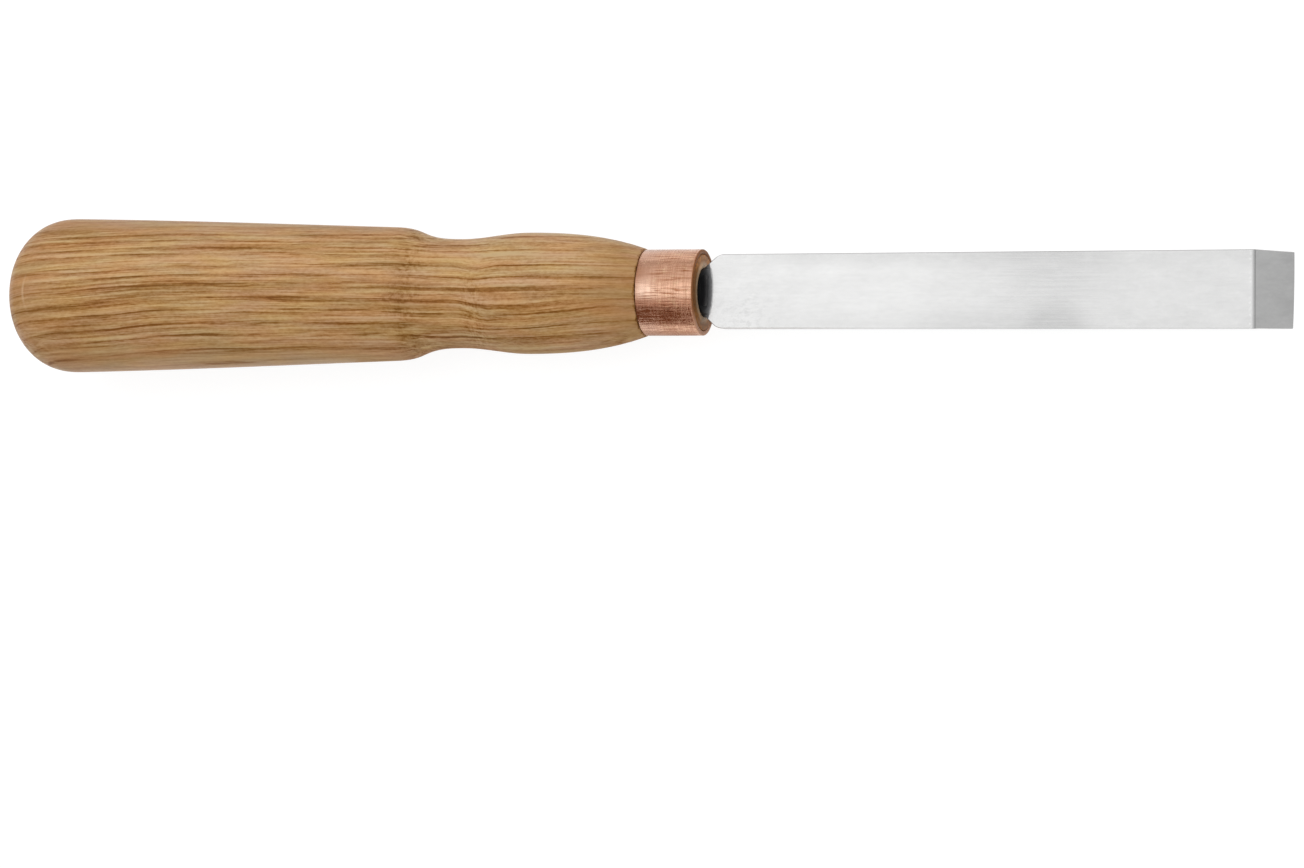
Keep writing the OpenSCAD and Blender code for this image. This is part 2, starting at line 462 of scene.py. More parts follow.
# %% [markdown]
# On the real tool the flat, the bolster and the tang are one piece of steel. Two unions make them one shell.
# The tang runs into the flat a little way, because a union of solids that only touch leaves loose faces.

# %% Join the forging
GROUND_SHARP = math.radians(12)

tang = tapered_bar("tang", -TANG_LEN, SHOULDER_X + OVERRUN, TANG_TIP, TANG_ROOT)
combine(blade, bolster, "UNION")
combine(blade, tang, "UNION")
bpy.ops.object.mode_set(mode="EDIT")
merge_and_face_out()
bpy.ops.object.mode_set(mode="OBJECT")
finish_piece(blade, "blade", GROUND_SHARP)

# %% [markdown]
# Materials are built from nodes, and every node is added, set and wired in the same few steps.
# A small class keeps those steps in one place: it holds a tree of nodes and puts new ones into it.
# A socket takes a plain value or a link from another node, and fill finds out which of them it was given.

# %% A class for adding nodes


class Nodes:
    """Adds nodes to one tree, with short names for common arithmetic."""

    def __init__(self, tree):
        self.tree = tree

    def fill(self, node, sockets):
        """Fills inputs of a node, by name or number, with values or links."""
        for name, value in sockets.items():
            if isinstance(value, bpy.types.NodeSocket):
                self.tree.links.new(value, node.inputs[name])
            else:
                node.inputs[name].default_value = value

    def add(self, kind, sockets=None, **settings):
        """Adds a node, sets its options and fills its inputs."""
        node = self.tree.nodes.new(kind)
        for name, value in settings.items():
            setattr(node, name, value)
        self.fill(node, sockets or {})
        return node

    def calc(self, operation, first, second=0.0, third=0.0):
        """One step of arithmetic."""
        return self.add("ShaderNodeMath", {0: first, 1: second, 2: third}, operation=operation).outputs[0]

    def times(self, first, *others):
        """The product of all the values."""
        for other in others:
            first = self.calc("MULTIPLY", first, other)
        return first

    def plus(self, base, part, share):
        """The base and a share of another part."""
        return self.calc("MULTIPLY_ADD", part, share, base)

    def blend(self, share, first, second):
        """A value that goes from the first to the second as the share goes from 0 to 1."""
        return self.add("ShaderNodeMix", {0: share, 2: first, 3: second}).outputs[0]

    def remap(self, value, low, high, to_low=0.0, to_high=1.0):
        """Stretches the range from low to high over a new range, with soft ends."""
        sockets = {"Value": value, "From Min": low, "From Max": high, "To Min": to_low, "To Max": to_high}
        return self.add("ShaderNodeMapRange", sockets, interpolation_type="SMOOTHSTEP").outputs[0]

    def bump_at(self, value, centre, reach):
        """1 where the value is at the centre, and 0 from reach on either side."""
        away = self.calc("ABSOLUTE", self.calc("SUBTRACT", value, centre))
        return self.remap(away, 0.0, reach, 1.0, 0.0)


# %% [markdown]
# A pattern needs a place to read. All patterns here read Object coordinates, turned into millimetres,
# so that their sizes can be read like sizes on a drawing, and so that they move with the tool.
# Most of them are noise, with a number of blobs to the millimetre that can differ each way.

# %% A class for places, noise and colours


class Patterns(Nodes):
    """Adds nodes that find places, draw noise and mix colours."""

    def vector(self, operation, first, second=(0, 0, 0)):
        """One step of arithmetic on places."""
        return self.add("ShaderNodeVectorMath", {0: first, 1: second}, operation=operation).outputs[0]

    def length(self, place):
        """How far a place is from the origin."""
        return self.add("ShaderNodeVectorMath", {0: place}, operation="LENGTH").outputs["Value"]

    def split(self, place):
        """The X, Y and Z of a place: along the tool, aside and above."""
        return tuple(self.add("ShaderNodeSeparateXYZ", {0: place}).outputs)

    def join(self, x=0.0, y=0.0, z=0.0):
        """Three numbers as one place."""
        return self.add("ShaderNodeCombineXYZ", {0: x, 1: y, 2: z}).outputs[0]

    def millimetres(self):
        """Object coordinates in millimetres."""
        return self.vector("MULTIPLY", self.add("ShaderNodeTexCoord").outputs["Object"], (1 / MM,) * 3)

    def noise(self, place, per_mm=None, detail=2.0, roughness=0.5, output=0):
        """Soft noise with the asked number of blobs to the millimetre, in X, Y and Z."""
        if per_mm is not None:
            place = self.vector("MULTIPLY", place, per_mm)
        sockets = {"Vector": place, "Scale": 1.0, "Detail": detail, "Roughness": roughness}
        return self.add("ShaderNodeTexNoise", sockets).outputs[output]

    def tint(self, share, first, second, blend_type="MIX"):
        """Mixes two colours by a share from 0 to 1."""
        sockets = {0: share, 6: first, 7: second}
        return self.add("ShaderNodeMix", sockets, data_type="RGBA", blend_type=blend_type).outputs[2]

    def ramp(self, value, stops):
        """A run of colours through the stops, each with its position and its colour."""
        node = self.add("ShaderNodeValToRGB", {0: value})
        elements = node.color_ramp.elements
        while len(elements) < len(stops):
            elements.new(0.5)
        for element, (position, colour) in zip(elements, stops):
            element.position = position
            element.color = (*colour, 1)
        return node.outputs["Color"]

    def curve(self, value, stops):
        """A grey curve through the stops, each with its position and its level."""
        return self.ramp(value, [(position, (level,) * 3) for position, level in stops])


# %% [markdown]
# Two effects appear on more than one piece, so each is a node group with its own sockets.
# Drawn lines are what a tool leaves when it is pulled over a surface: fibres, brush marks and scratches
# are all noise that is stretched along one way. Clouds are the soft stains that hands and oil leave.

# %% Build the shared groups


def mask_group(name, detail, roughness, levels=None):
    """A group that masks stretched noise between two levels, with sockets for them if they aren't given."""
    group = bpy.data.node_groups.new(name, "ShaderNodeTree")
    asked = [("Place", "NodeSocketVector"), ("Per Millimetre", "NodeSocketVector")]
    if levels is None:
        asked += [("Low", "NodeSocketFloat"), ("High", "NodeSocketFloat")]
    for label, kind in asked:
        group.interface.new_socket(name=label, in_out="INPUT", socket_type=kind)
    group.interface.new_socket(name="Mask", in_out="OUTPUT", socket_type="NodeSocketFloat")
    nodes = Patterns(group)
    given = nodes.add("NodeGroupInput").outputs
    raw = nodes.noise(given["Place"], given["Per Millimetre"], detail, roughness)
    low, high = levels or (given["Low"], given["High"])
    nodes.add("NodeGroupOutput", {"Mask": nodes.remap(raw, low, high)})
    return group


lines_group = mask_group("drawn_lines", detail=3.0, roughness=0.6)
clouds_group = mask_group("clouds", detail=2.0, roughness=0.45, levels=(0.3, 0.7))
print("groups:", lines_group.name, clouds_group.name)

# %% [markdown]
# Each finish is one material with one Principled shader, which goes on one piece.
# The class below starts it with an empty tree, places the shared groups in it and puts it on the piece.

# %% A class for the finish of a piece


def cleared(holder):
    """The node tree of a material or a world, switched on and emptied."""
    holder.use_nodes = True
    holder.node_tree.nodes.clear()
    return holder.node_tree


class Finish(Patterns):
    """A material with one Principled shader."""

    def __init__(self, name):
        self.material = bpy.data.materials.new(name)
        super().__init__(cleared(self.material))
        self.shader = self.add("ShaderNodeBsdfPrincipled")
        self.add("ShaderNodeOutputMaterial", {"Surface": self.shader.outputs["BSDF"]})

    def drawn_lines(self, place, per_mm, low, high):
        """Lines where the stretched noise lies between the low and the high level."""
        sockets = {"Place": place, "Per Millimetre": per_mm, "Low": low, "High": high}
        return self.add("ShaderNodeGroup", sockets, node_tree=lines_group).outputs["Mask"]

    def clouds(self, place, per_mm):
        """Soft, wide stains."""
        sockets = {"Place": place, "Per Millimetre": per_mm}
        return self.add("ShaderNodeGroup", sockets, node_tree=clouds_group).outputs["Mask"]

    def relief(self, height, strength, distance, **settings):
        """Turns heights into a normal for the shader, with the distance in metres."""
        sockets = {"Height": height, "Strength": strength, "Distance": distance}
        self.shade({"Normal": self.add("ShaderNodeBump", sockets, **settings).outputs["Normal"]})

    def shade(self, sockets):
        """Fills inputs of the shader."""
        self.fill(self.shader, sockets)

    def dress(self, piece):
        """Puts the material on the piece, as its only one."""
        piece.data.materials.clear()
        piece.data.materials.append(self.material)
        print(piece.name, "has", self.material.name, "with", len(self.tree.nodes), "nodes")


# %% [markdown]
# The wood is oak, and its grain runs along the handle. A picture wrapped round it would show a seam.
# Grain that is read straight from the place in the wood has another fault: where the lathe cut down to the
# cove and the butt, it shows other layers, and the lines would break into rings there.
# So the depth is evened: each place counts as if the handle were equally thick everywhere, and the lines
# run on over the shoulder and the cove, as they do in the photograph. Then they are bent:
# they sweep aside at the butt, fan out on the near side of the grip, bow over the swell and kink behind it.

# %% Bend the grain of the handle
# Places and reaches are in millimetres, along the tool from the mouth of the ferrule.
EVEN_R = 15.0
SWEEP_X, SWEEP_SOFT, SWEEP_SLOPE = -115.0, 13.0, 0.05
FAN_X, FAN_SOFT, FAN_SLOPE = -66.0, 10.0, 0.014
BOW_RISE, BOW_FALL, BOW_DROP = (-50.7, -43.2), (-38.0, -12.0), 1.7
NEAR_SIDE = (2.0, -12.0)
KINK_X, KINK_REACH = -46.7, 6.0
WAVES, KINK_WAVES = 0.4, 2.2

wood = Finish("oiled_oak")
place = wood.millimetres()
along, aside, above = wood.split(place)
from_axis = wood.length(wood.vector("MULTIPLY", place, (0, 1, 1)))
evened = wood.calc("DIVIDE", EVEN_R, wood.calc("MAXIMUM", from_axis, EVEN_R / 2))
even = wood.join(along, aside, wood.times(above, evened))


def behind(start, soft):
    """How many millimetres a place lies behind the start, with a soft beginning."""
    return wood.calc("SMOOTH_MAX", wood.calc("SUBTRACT", start, along), 0.0, soft)


def wander(per_mm, amount):
    """A smooth drift of the grain in Y and Z, up to half the amount in millimetres to each side."""
    drift = wood.noise(even, per_mm, detail=1.5, output=1)
    return wood.vector("MULTIPLY", wood.vector("SUBTRACT", drift, (0.5,) * 3), (0, amount, amount))


sweep = wood.times(behind(SWEEP_X, SWEEP_SOFT), SWEEP_SLOPE)
near_side = wood.remap(aside, *NEAR_SIDE, 0.0, FAN_SLOPE)
sweep = wood.plus(sweep, behind(FAN_X, FAN_SOFT), near_side)
bow = wood.calc("SUBTRACT", wood.remap(along, *BOW_RISE), wood.remap(along, *BOW_FALL, 0.0, BOW_DROP))
bow = wood.times(bow, wood.remap(aside, -5.0, -0.5, 1.3, 0.12), wood.remap(aside, -12.0, -6.0, 0.4, 1.0))
bent = wood.vector("ADD", even, wood.join(y=wood.calc("ADD", sweep, bow)))
bent = wood.vector("ADD", bent, wander(per_mm=(0.009, 0.03, 0.01), amount=3.0))
kink = wood.plus(WAVES, wood.bump_at(along, KINK_X, KINK_REACH), KINK_WAVES)
waves = wander(per_mm=(0.06, 0.15, 0.035), amount=1.0)
bent = wood.vector("ADD", bent, wood.vector("MULTIPLY", waves, wood.join(kink, kink, kink)))
_, bent_aside, _ = wood.split(bent)
print("the grain is bent with", len(wood.tree.nodes), "nodes")

# %% [markdown]
# A tree grows in layers round its pith, and the handle was cut from wood far away from it.
# The distance from the pith, in layers, gives the year that a place grew in, and its fraction the season.
# Slow noise makes some years wider, and fine noise frays the borders along the fibres.
# Each layer starts with a band of open pores, which show as dark dashes along the grain.

# %% Grow the layers of the wood
PITH_Y, PITH_Z = 150.0, -16.0
LAYER = 2.15
YEAR_DRIFT, FRAY = 1.5, 0.34
ROW_CHANGE = 0.022
OTHER_ROWS = (9, 0, 4)
EARLY_WOOD = ((0.0, 0.3), (0.08, 1.0), (0.3, 0.7), (0.6, 0.1), (0.94, 0.0), (1.0, 0.3))
PORE_ROW = ((0.0, 0.0), (0.03, 0.2), (0.08, 1.0), (0.15, 0.8), (0.23, 0.0), (1.0, 0.0))

from_pith = wood.vector("MULTIPLY", wood.vector("SUBTRACT", bent, (0, PITH_Y, PITH_Z)), (0, 1, 1))
layers = wood.calc("DIVIDE", wood.length(from_pith), LAYER)
layers = wood.plus(layers, wood.noise(bent, (0.003, 0.25, 0.06), detail=1.0), YEAR_DRIFT)
layers = wood.plus(layers, wood.noise(bent, (0.12, 2.2, 0.8), detail=3.0, roughness=0.65), FRAY)
season = wood.calc("FRACT", layers)
early_wood = wood.curve(season, EARLY_WOOD)
pore_row = wood.curve(season, PORE_ROW)
in_layers = wood.join(wood.times(along, ROW_CHANGE), layers)
row_strength = wood.remap(wood.noise(in_layers), 0.36, 0.62, 0.15, 1.0)
other_rows = wood.noise(wood.vector("ADD", in_layers, OTHER_ROWS), detail=1.0)
band = wood.times(early_wood, wood.remap(other_rows, 0.3, 0.7, 0.2, 1.0))
print("growth layers of", LAYER, "mm round a pith", round(math.hypot(PITH_Y, PITH_Z)), "mm away")

# %% [markdown]
# Oak shows lines of many sizes at once: long strands, fibres, fine hairs, short grit and open pores.
# Most are drawn by one group, each with its own stretch from a table, and all of them follow the bent grain.
# In the swell the cut crosses the fibres, so the fine lines are fainter there and the grit stronger.
# At the shoulder and the neck the turner's gouge tore the fibres, which left short dark and pale flecks.
# The slope of the shoulder faces away from the light, so a soft dark band over it is painted shade.

# %% Draw the fibres, the pores and the torn places
# Blobs to the millimetre along, aside and in depth, then the low and the high level of the mask.
WOOD_LINES = {
    "fibre": ((0.045, 1.9, 0.8), 0.32, 0.68),
    "hair": ((0.12, 3.3, 1.4), 0.36, 0.64),
    "grit": ((0.90, 2.3, 1.2), 0.36, 0.66),
    "pores": ((0.10, 2.3, 1.0), 0.55, 0.62),
    "flecks": ((0.5, 1.6, 0.6), 0.45, 0.65),
    "torn": ((1.6, 1.2, 0.6), 0.40, 0.64),
}
TORN_MEAN = 0.42
SWELL = (-58.0, -46.0)
SHOULDER, SHOULDER_REACH = -62.5, 3.6
TORN_SHOULDER, TORN_SHOULDER_REACH = -61.7, 7.5
TORN_NECK, TORN_NECK_REACH = -47.2, 4.5

drawn = {name: wood.drawn_lines(bent, *stretch) for name, stretch in WOOD_LINES.items()}
uneven = wood.remap(bent_aside, -8.0, 2.0, 1.12, 0.80)
in_swell = wood.remap(along, *SWELL)
fainter = wood.plus(1.0, in_swell, -0.25)
grit = wood.times(drawn["grit"], wood.plus(1.0, in_swell, 0.25))
hair = wood.times(drawn["hair"], fainter)
pores = wood.times(drawn["pores"], fainter, uneven)
scattered = wood.times(pores, wood.remap(early_wood, 0.1, 0.8, 0.2, 1.0))
rows = wood.times(pore_row, row_strength, uneven, wood.remap(hair, 0.0, 1.0, 0.6, 1.2))
rows = wood.times(rows, wood.plus(1.0, in_swell, 0.12))
blotches = wood.noise(even, (0.12, 0.30, 0.30), detail=3.0)
# A soft dark band on the shoulder is painted shade, and the flecks gather in it.
shoulder = wood.bump_at(along, SHOULDER, SHOULDER_REACH)
shoulder = wood.times(shoulder, wood.remap(blotches, 0.35, 0.65, 0.2, 1.3))
flecks = wood.times(drawn["flecks"], shoulder)
at_shoulder = wood.bump_at(along, TORN_SHOULDER, TORN_SHOULDER_REACH)
at_shoulder = wood.times(at_shoulder, wood.remap(blotches, 0.35, 0.6))
at_neck = wood.times(wood.bump_at(along, TORN_NECK, TORN_NECK_REACH), wood.remap(aside, 5.0, 0.0))
torn = wood.calc("SUBTRACT", drawn["torn"], TORN_MEAN)
torn = wood.times(torn, wood.calc("MAXIMUM", at_shoulder, at_neck))
print("kinds of lines:", *WOOD_LINES)

# %% [markdown]
# All these marks add up to one number, the depth of the tone, and a run of browns turns it into a colour.
# That keeps every mark in the family of colours that oiled oak has, which separate colours would not.
# A pale and a brown belt run along the handle, the butt is darker, and the swell is lighter.
# The lines are calmer at the flanks, the butt and the nose, and a dark seam follows the edge of the ferrule.

# %% Add up the depth of the tone
STRAND_SHARE, STRAND_BASE = 1.9, -0.975
PALE_BELT, PALE_REACH = 6.4, 5.0
BROWN_BELT, BROWN_REACH = -2.4, 4.0
FLANKS, FLANK_TONE = (10.0, 14.5), 0.43
NOSE_CALM, NOSE_TONE = (-30.0, -14.0), 0.57
BUTT, BUTT_CALM = (-120.0, -137.0), (-138.0, -148.0)
RAGGED = 1.6
NOSE = NOSE_X / MM

strand = wood.noise(bent, (0.016, 1.2, 0.4), detail=4.0, roughness=0.74)
depth = wood.plus(STRAND_BASE, strand, STRAND_SHARE)
pale_belt = wood.bump_at(bent_aside, PALE_BELT, PALE_REACH)
brown_belt = wood.bump_at(bent_aside, BROWN_BELT, BROWN_REACH)
butt = wood.remap(along, *BUTT)
shares = (
    (drawn["fibre"], 0.28), (hair, 0.24), (grit, 0.18), (band, 0.23), (rows, 0.41), (scattered, 0.26),
    (flecks, 0.18), (shoulder, 0.08), (pale_belt, -0.13), (brown_belt, 0.12), (butt, 0.09),
    (in_swell, -0.085), (torn, 0.29))
for part, share in shares:
    depth = wood.plus(depth, part, share)
flank = wood.remap(wood.calc("ABSOLUTE", aside), *FLANKS, 0.0, 0.52)
flank = wood.calc("MAXIMUM", flank, wood.remap(along, *BUTT_CALM, 0.0, 0.4))
depth = wood.blend(flank, depth, FLANK_TONE)
near_nose = wood.remap(along, *NOSE_CALM)
depth = wood.blend(wood.times(near_nose, 0.5), depth, NOSE_TONE)
ragged = wood.noise(place, (1.3, 1.3, 1.3), detail=3.0)
blotted = wood.noise(place, (0.5, 0.6, 0.6), detail=3.0)
seam = wood.remap(wood.plus(along, ragged, RAGGED), NOSE + 0.4, NOSE + 0.8, 0.0, 0.5)
seam = wood.times(seam, wood.remap(blotted, 0.42, 0.60, 0.15, 1.0))
depth = wood.calc("ADD", depth, wood.times(seam, wood.calc("LESS_THAN", along, NOSE + 0.1)))
print("marks in the tone of the wood:", len(shares))

# %% [markdown]
# Clouds of a warmer and a cooler tint, and of a rosier and a greener one, keep the browns from looking flat.
# At the butt a pale crescent on the upper side is a painted highlight, the reflection of a low light on the
# left.
# The end of the tenon shows end grain: pale in the middle, brown with oil towards the ferrule.
# Over a real mottling it is darker above and below the bolster and towards the near side, which is painted
# shade.

# %% Colour the long grain and the end grain
WOOD_TONES = (
    (0.00, (0.565, 0.366, 0.173)), (0.25, (0.482, 0.282, 0.116)), (0.50, (0.386, 0.202, 0.071)),
    (0.75, (0.266, 0.117, 0.024)), (1.00, (0.175, 0.062, 0.006)))
WARM_TINT, COOL_TINT = (1.020, 0.995, 0.94, 1), (0.975, 1.015, 1.17, 1)
ROSE_TINT, GREEN_TINT = (1.02, 0.960, 1.01, 1), (0.980, 1.025, 0.980, 1)
OTHER_CLOUDS = (40, 7, 3)
CRESCENT_HIGHLIGHT_TONE = (0.66, 0.46, 0.28, 1)
CRESCENT_X, CRESCENT_Y, CRESCENT_BOW = -146.7, -0.7, -0.06
CRESCENT_HALF, CRESCENT_REACH = 0.55, 5.0
END_PALE = (0.62, 0.42, 0.26, 1)
END_BROWN = (0.30, 0.122, 0.032, 1)

warmth = wood.tint(wood.clouds(bent, (0.10, 0.5, 0.2)), WARM_TINT, COOL_TINT)
blush = wood.clouds(wood.vector("ADD", bent, OTHER_CLOUDS), (0.07, 0.45, 0.2))
long_grain = wood.tint(1.0, wood.ramp(depth, WOOD_TONES), warmth, "MULTIPLY")
long_grain = wood.tint(1.0, long_grain, wood.tint(blush, ROSE_TINT, GREEN_TINT), "MULTIPLY")
# The pale crescent at the butt is a painted highlight, on the upper side only.
off_centre = wood.calc("ADD", aside, -CRESCENT_Y)
bowed = wood.plus(along, wood.calc("POWER", off_centre, 2.0), CRESCENT_BOW)
painted_crescent_highlight = wood.times(
    wood.bump_at(bowed, CRESCENT_X, CRESCENT_HALF), wood.bump_at(aside, CRESCENT_Y, CRESCENT_REACH),
    wood.remap(above, 0.0, 6.0, 0.0, 0.4))
long_grain = wood.tint(painted_crescent_highlight, long_grain, CRESCENT_HIGHLIGHT_TONE)
soaked = wood.remap(wood.plus(from_axis, ragged, RAGGED), 6.4, 7.6)
# Darker above and below the bolster and on the near side: painted shade, over a real mottling.
end_shade_and_mottling = wood.times(
    wood.remap(wood.calc("ABSOLUTE", aside), 2.5, 6.0, 0.70, 1.30),
    wood.remap(ragged, 0.35, 0.65, 0.78, 1.25),
    wood.remap(aside, -6.0, 6.0, 0.75, 1.1))
end_grain = wood.tint(1.0, wood.tint(soaked, END_PALE, END_BROWN), end_shade_and_mottling, "MULTIPLY")
print("tones of the wood:", len(WOOD_TONES))

# %% [markdown]
# Oil leaves wood almost matt, with a thin coat that shines a little, and dark wood is rougher than pale wood.
# The pores are pressed in as fine grooves. The end grain drinks the oil, so it has no coat.

# %% Finish the wood
END_X = -0.5
OIL_COAT = 0.1

mouth_end = wood.calc("GREATER_THAN", along, END_X)
wood.shade({
    "Base Color": wood.tint(mouth_end, long_grain, end_grain),
    "Roughness": wood.remap(depth, 0.2, 1.0, 0.42, 0.60),
    "Specular IOR Level": 0.09,
    "Coat Weight": wood.remap(mouth_end, 0.0, 1.0, OIL_COAT, 0.0),
    "Coat Roughness": 0.1,
})
wood.relief(wood.calc("ADD", rows, scattered), strength=0.05, distance=0.1 * MM, invert=True)
wood.dress(handle)

# %% [markdown]
# Copper shows its history: lines round the tube from polishing, scratches along it from pressing it on,
# and a brown bloom where it has been left alone. Metal has no colour of its own but that of its reflections,
# so the bloom is a darker, redder base colour. By the wood the tube was wiped clean.
# Along its top runs a painted highlight. Dark bands and a darker patch beside it, and a darker far side,
# are painted shade and reflections.

# %% Colour the copper
COPPER = (0.735, 0.428, 0.292, 1)
COPPER_PALE = (0.82, 0.56, 0.36, 1)
COPPER_CLEAN = (0.78, 0.545, 0.435, 1)
COPPER_HIGHLIGHT = (0.92, 0.675, 0.53, 1)
COPPER_BROWN = (0.36, 0.140, 0.062, 1)
HIGHLIGHT_Y, HIGHLIGHT_REACH = -0.7, 2.3
FAR_DARK_BAND, FAR_DARK_BAND_REACH = 4.6, 3.2
NEAR_DARK_BAND, NEAR_DARK_BAND_REACH = -3.1, 1.7
SHADE_PATCH_Y, SHADE_PATCH_REACH = 2.6, 2.2
WIPED = (NOSE + 1.0, NOSE + 6.5)
SEAM = (NOSE + 0.2, NOSE + 1.4)

copper = Finish("handled_copper")
place = copper.millimetres()
along, aside, above = copper.split(place)
round_lines = copper.drawn_lines(place, (4.0, 0.16, 0.16), 0.34, 0.70)
long_lines = copper.drawn_lines(place, (0.16, 3.0, 3.0), 0.48, 0.60)
spots = copper.drawn_lines(place, (0.7, 0.9, 0.9), 0.52, 0.66)
bloom = copper.clouds(place, (0.22, 0.34, 0.34))
clean = copper.remap(along, *WIPED, 1.0, 0.0)
on_top = copper.remap(above, 0.0, 4.0)
rubbed = copper.tint(copper.times(spots, 0.6), COPPER, COPPER_PALE)
rubbed = copper.tint(copper.times(clean, 0.45), rubbed, COPPER_CLEAN)
# A paler band along the top of the tube is a painted highlight, strongest by the wood.
highlight_strength = copper.times(on_top, copper.plus(0.18, clean, 0.40))
painted_highlight = copper.times(copper.bump_at(aside, HIGHLIGHT_Y, HIGHLIGHT_REACH), highlight_strength)
rubbed = copper.tint(painted_highlight, rubbed, COPPER_HIGHLIGHT)
# Dark bands, a darker patch and a darker far side are painted shade and reflections.
dark_band_reflections = copper.times(copper.bump_at(aside, FAR_DARK_BAND, FAR_DARK_BAND_REACH), 0.45)
dark_band_reflections = copper.plus(dark_band_reflections, copper.bump_at(aside, NEAR_DARK_BAND, NEAR_DARK_BAND_REACH), 0.5)
shade_patch = copper.times(copper.bump_at(aside, SHADE_PATCH_Y, SHADE_PATCH_REACH), copper.calc("POWER", clean, 3.0))
painted_shade_and_reflections = copper.times(copper.plus(copper.times(dark_band_reflections, clean), shade_patch, 0.38), on_top)
painted_shade_and_reflections = copper.calc("ADD", painted_shade_and_reflections, copper.remap(aside, 5.8, 7.8, 0.0, 0.3))
rubbed = copper.tint(painted_shade_and_reflections, rubbed, COPPER_BROWN)
worn = copper.plus(copper.times(long_lines, bloom, 0.9), round_lines, 0.34)
worn = copper.times(worn, copper.plus(1.0, clean, -0.5))
rubbed = copper.tint(worn, rubbed, COPPER_BROWN)
seam = copper.remap(along, *SEAM, 1.0, 0.0)
seam = copper.times(seam, copper.remap(copper.calc("ABSOLUTE", aside), 5.0, 7.0, 0.35, 0.0))
rubbed = copper.tint(seam, rubbed, COPPER_BROWN)
print("copper nodes so far:", len(copper.tree.nodes))

# %% [markdown]
# The cut end at the mouth was never polished. It is brown and rough, and its near side is lighter, a painted
# highlight.
# Round the tube the polishing lines blur the reflections a little, and the scratches are pressed into it.

# %% Finish the copper
RIM_BROWN = (0.26, 0.098, 0.032, 1)
RIM_BAND = (-0.38, -0.14)

mouth = copper.remap(along, *RIM_BAND)
# The lighter near side of the rim is a painted highlight.
rim_with_highlight = copper.tint(copper.remap(aside, -4.0, -7.5, 0.0, 0.5), RIM_BROWN, COPPER)
blurred = copper.calc("MAXIMUM", copper.times(round_lines, 0.4), mouth)
copper.shade({
    "Base Color": copper.tint(mouth, rubbed, rim_with_highlight),
    "Metallic": copper.remap(mouth, 0.0, 1.0, 1.0, 0.2),
    "Roughness": copper.remap(copper.plus(blurred, clean, -0.15), -0.15, 1.0, 0.11, 0.5),
    "Specular IOR Level": 0.1,
})
copper.relief(copper.plus(round_lines, long_lines, -0.7), strength=0.55, distance=0.05 * MM)
copper.dress(ferrule)

# %% [markdown]
# The blade has two skins. The flat, the back and the bevel were ground on a belt, and the bolster kept
# the black scale of the forge. One material holds both, with a mask that follows the arc where the grinding
# stops. A second mask paints shade as a dark line along the broken edges, which are too thin to show it
# alone.

# %% Mask the ground faces, the scale and the edges of the blade
ARC = FACE_ARC / MM
ARC_X = (FACE_START - FACE_ARC) / MM
EDGE_SHADE_WIDTH = (0.05, 0.24)
FLARE_SLANT = 0.73
FLARE_END = (2.0, 6.0)

steel = Finish("ground_steel")
place = steel.millimetres()
along, aside, _ = steel.split(place)
from_middle = steel.calc("ABSOLUTE", aside)
in_plan = steel.vector("MULTIPLY", steel.vector("SUBTRACT", place, (ARC_X, 0, 0)), (1, 1, 0))
ragged = steel.noise(place, (1.6, 1.6, 1.6), detail=3.0)
from_arc = steel.plus(steel.length(in_plan), ragged, 0.4)
ground = steel.remap(from_arc, ARC - 0.10, ARC + 0.18)
scale = steel.calc("SUBTRACT", 1.0, ground)
# The dark lines along the broken edges are painted shade.
flare_line = steel.plus(SHOULDER_HALF / MM, steel.calc("SUBTRACT", along, SHOULDER_X / MM), math.tan(FLARE))
to_flare = steel.times(steel.calc("SUBTRACT", flare_line, from_middle), FLARE_SLANT)
half_width = steel.plus(ROOT_HALF / MM, along, (HEEL_HALF - ROOT_HALF) / HEEL_X)
to_side = steel.calc("SUBTRACT", half_width, from_middle)
edge_shade = steel.remap(steel.calc("MINIMUM", to_flare, to_side), *EDGE_SHADE_WIDTH, 1.0, 0.0)
long_edge = steel.remap(aside, -4.0, 4.0, 0.0, 0.5)
edge_shade = steel.times(edge_shade, steel.blend(steel.remap(along, *FLARE_END), 1.0, long_edge))
print("the grinding stops on an arc of", ARC, "mm round", round(ARC_X, 2), "mm")

# %% [markdown]
# A ground face turns dull where it is touched. Three soft smudges near the middle are where the blade is held
# while the edge is wiped. Noise makes their borders ragged, and the front half is duller too. The face is
# also darker towards its sides, which is painted shade.
# The bevel is honed apart from the face, so it has its own dullness. Its heel is a fine dark line of painted
# shade where the broken edge turns away, with a few small bright chips behind it.

# %% Lay the smudges and the heel line on the steel
# Each smudge has its centre, its reach each way and its strength.
SMUDGES = (
    ((75, -8, 0), (10, 10, 20), 0.30), ((77, 6, 0), (17, 12, 20), 0.13), ((58, -9, 0), (24, 9, 20), 0.08))
FACE_DULL = 0.25
HEEL, EDGE = HEEL_X / MM, EDGE_X / MM
CHIPS, CHIPS_REACH = -0.95, 0.4

blotches = steel.noise(place, (0.17, 0.34, 0.34), detail=5.0, roughness=0.68)
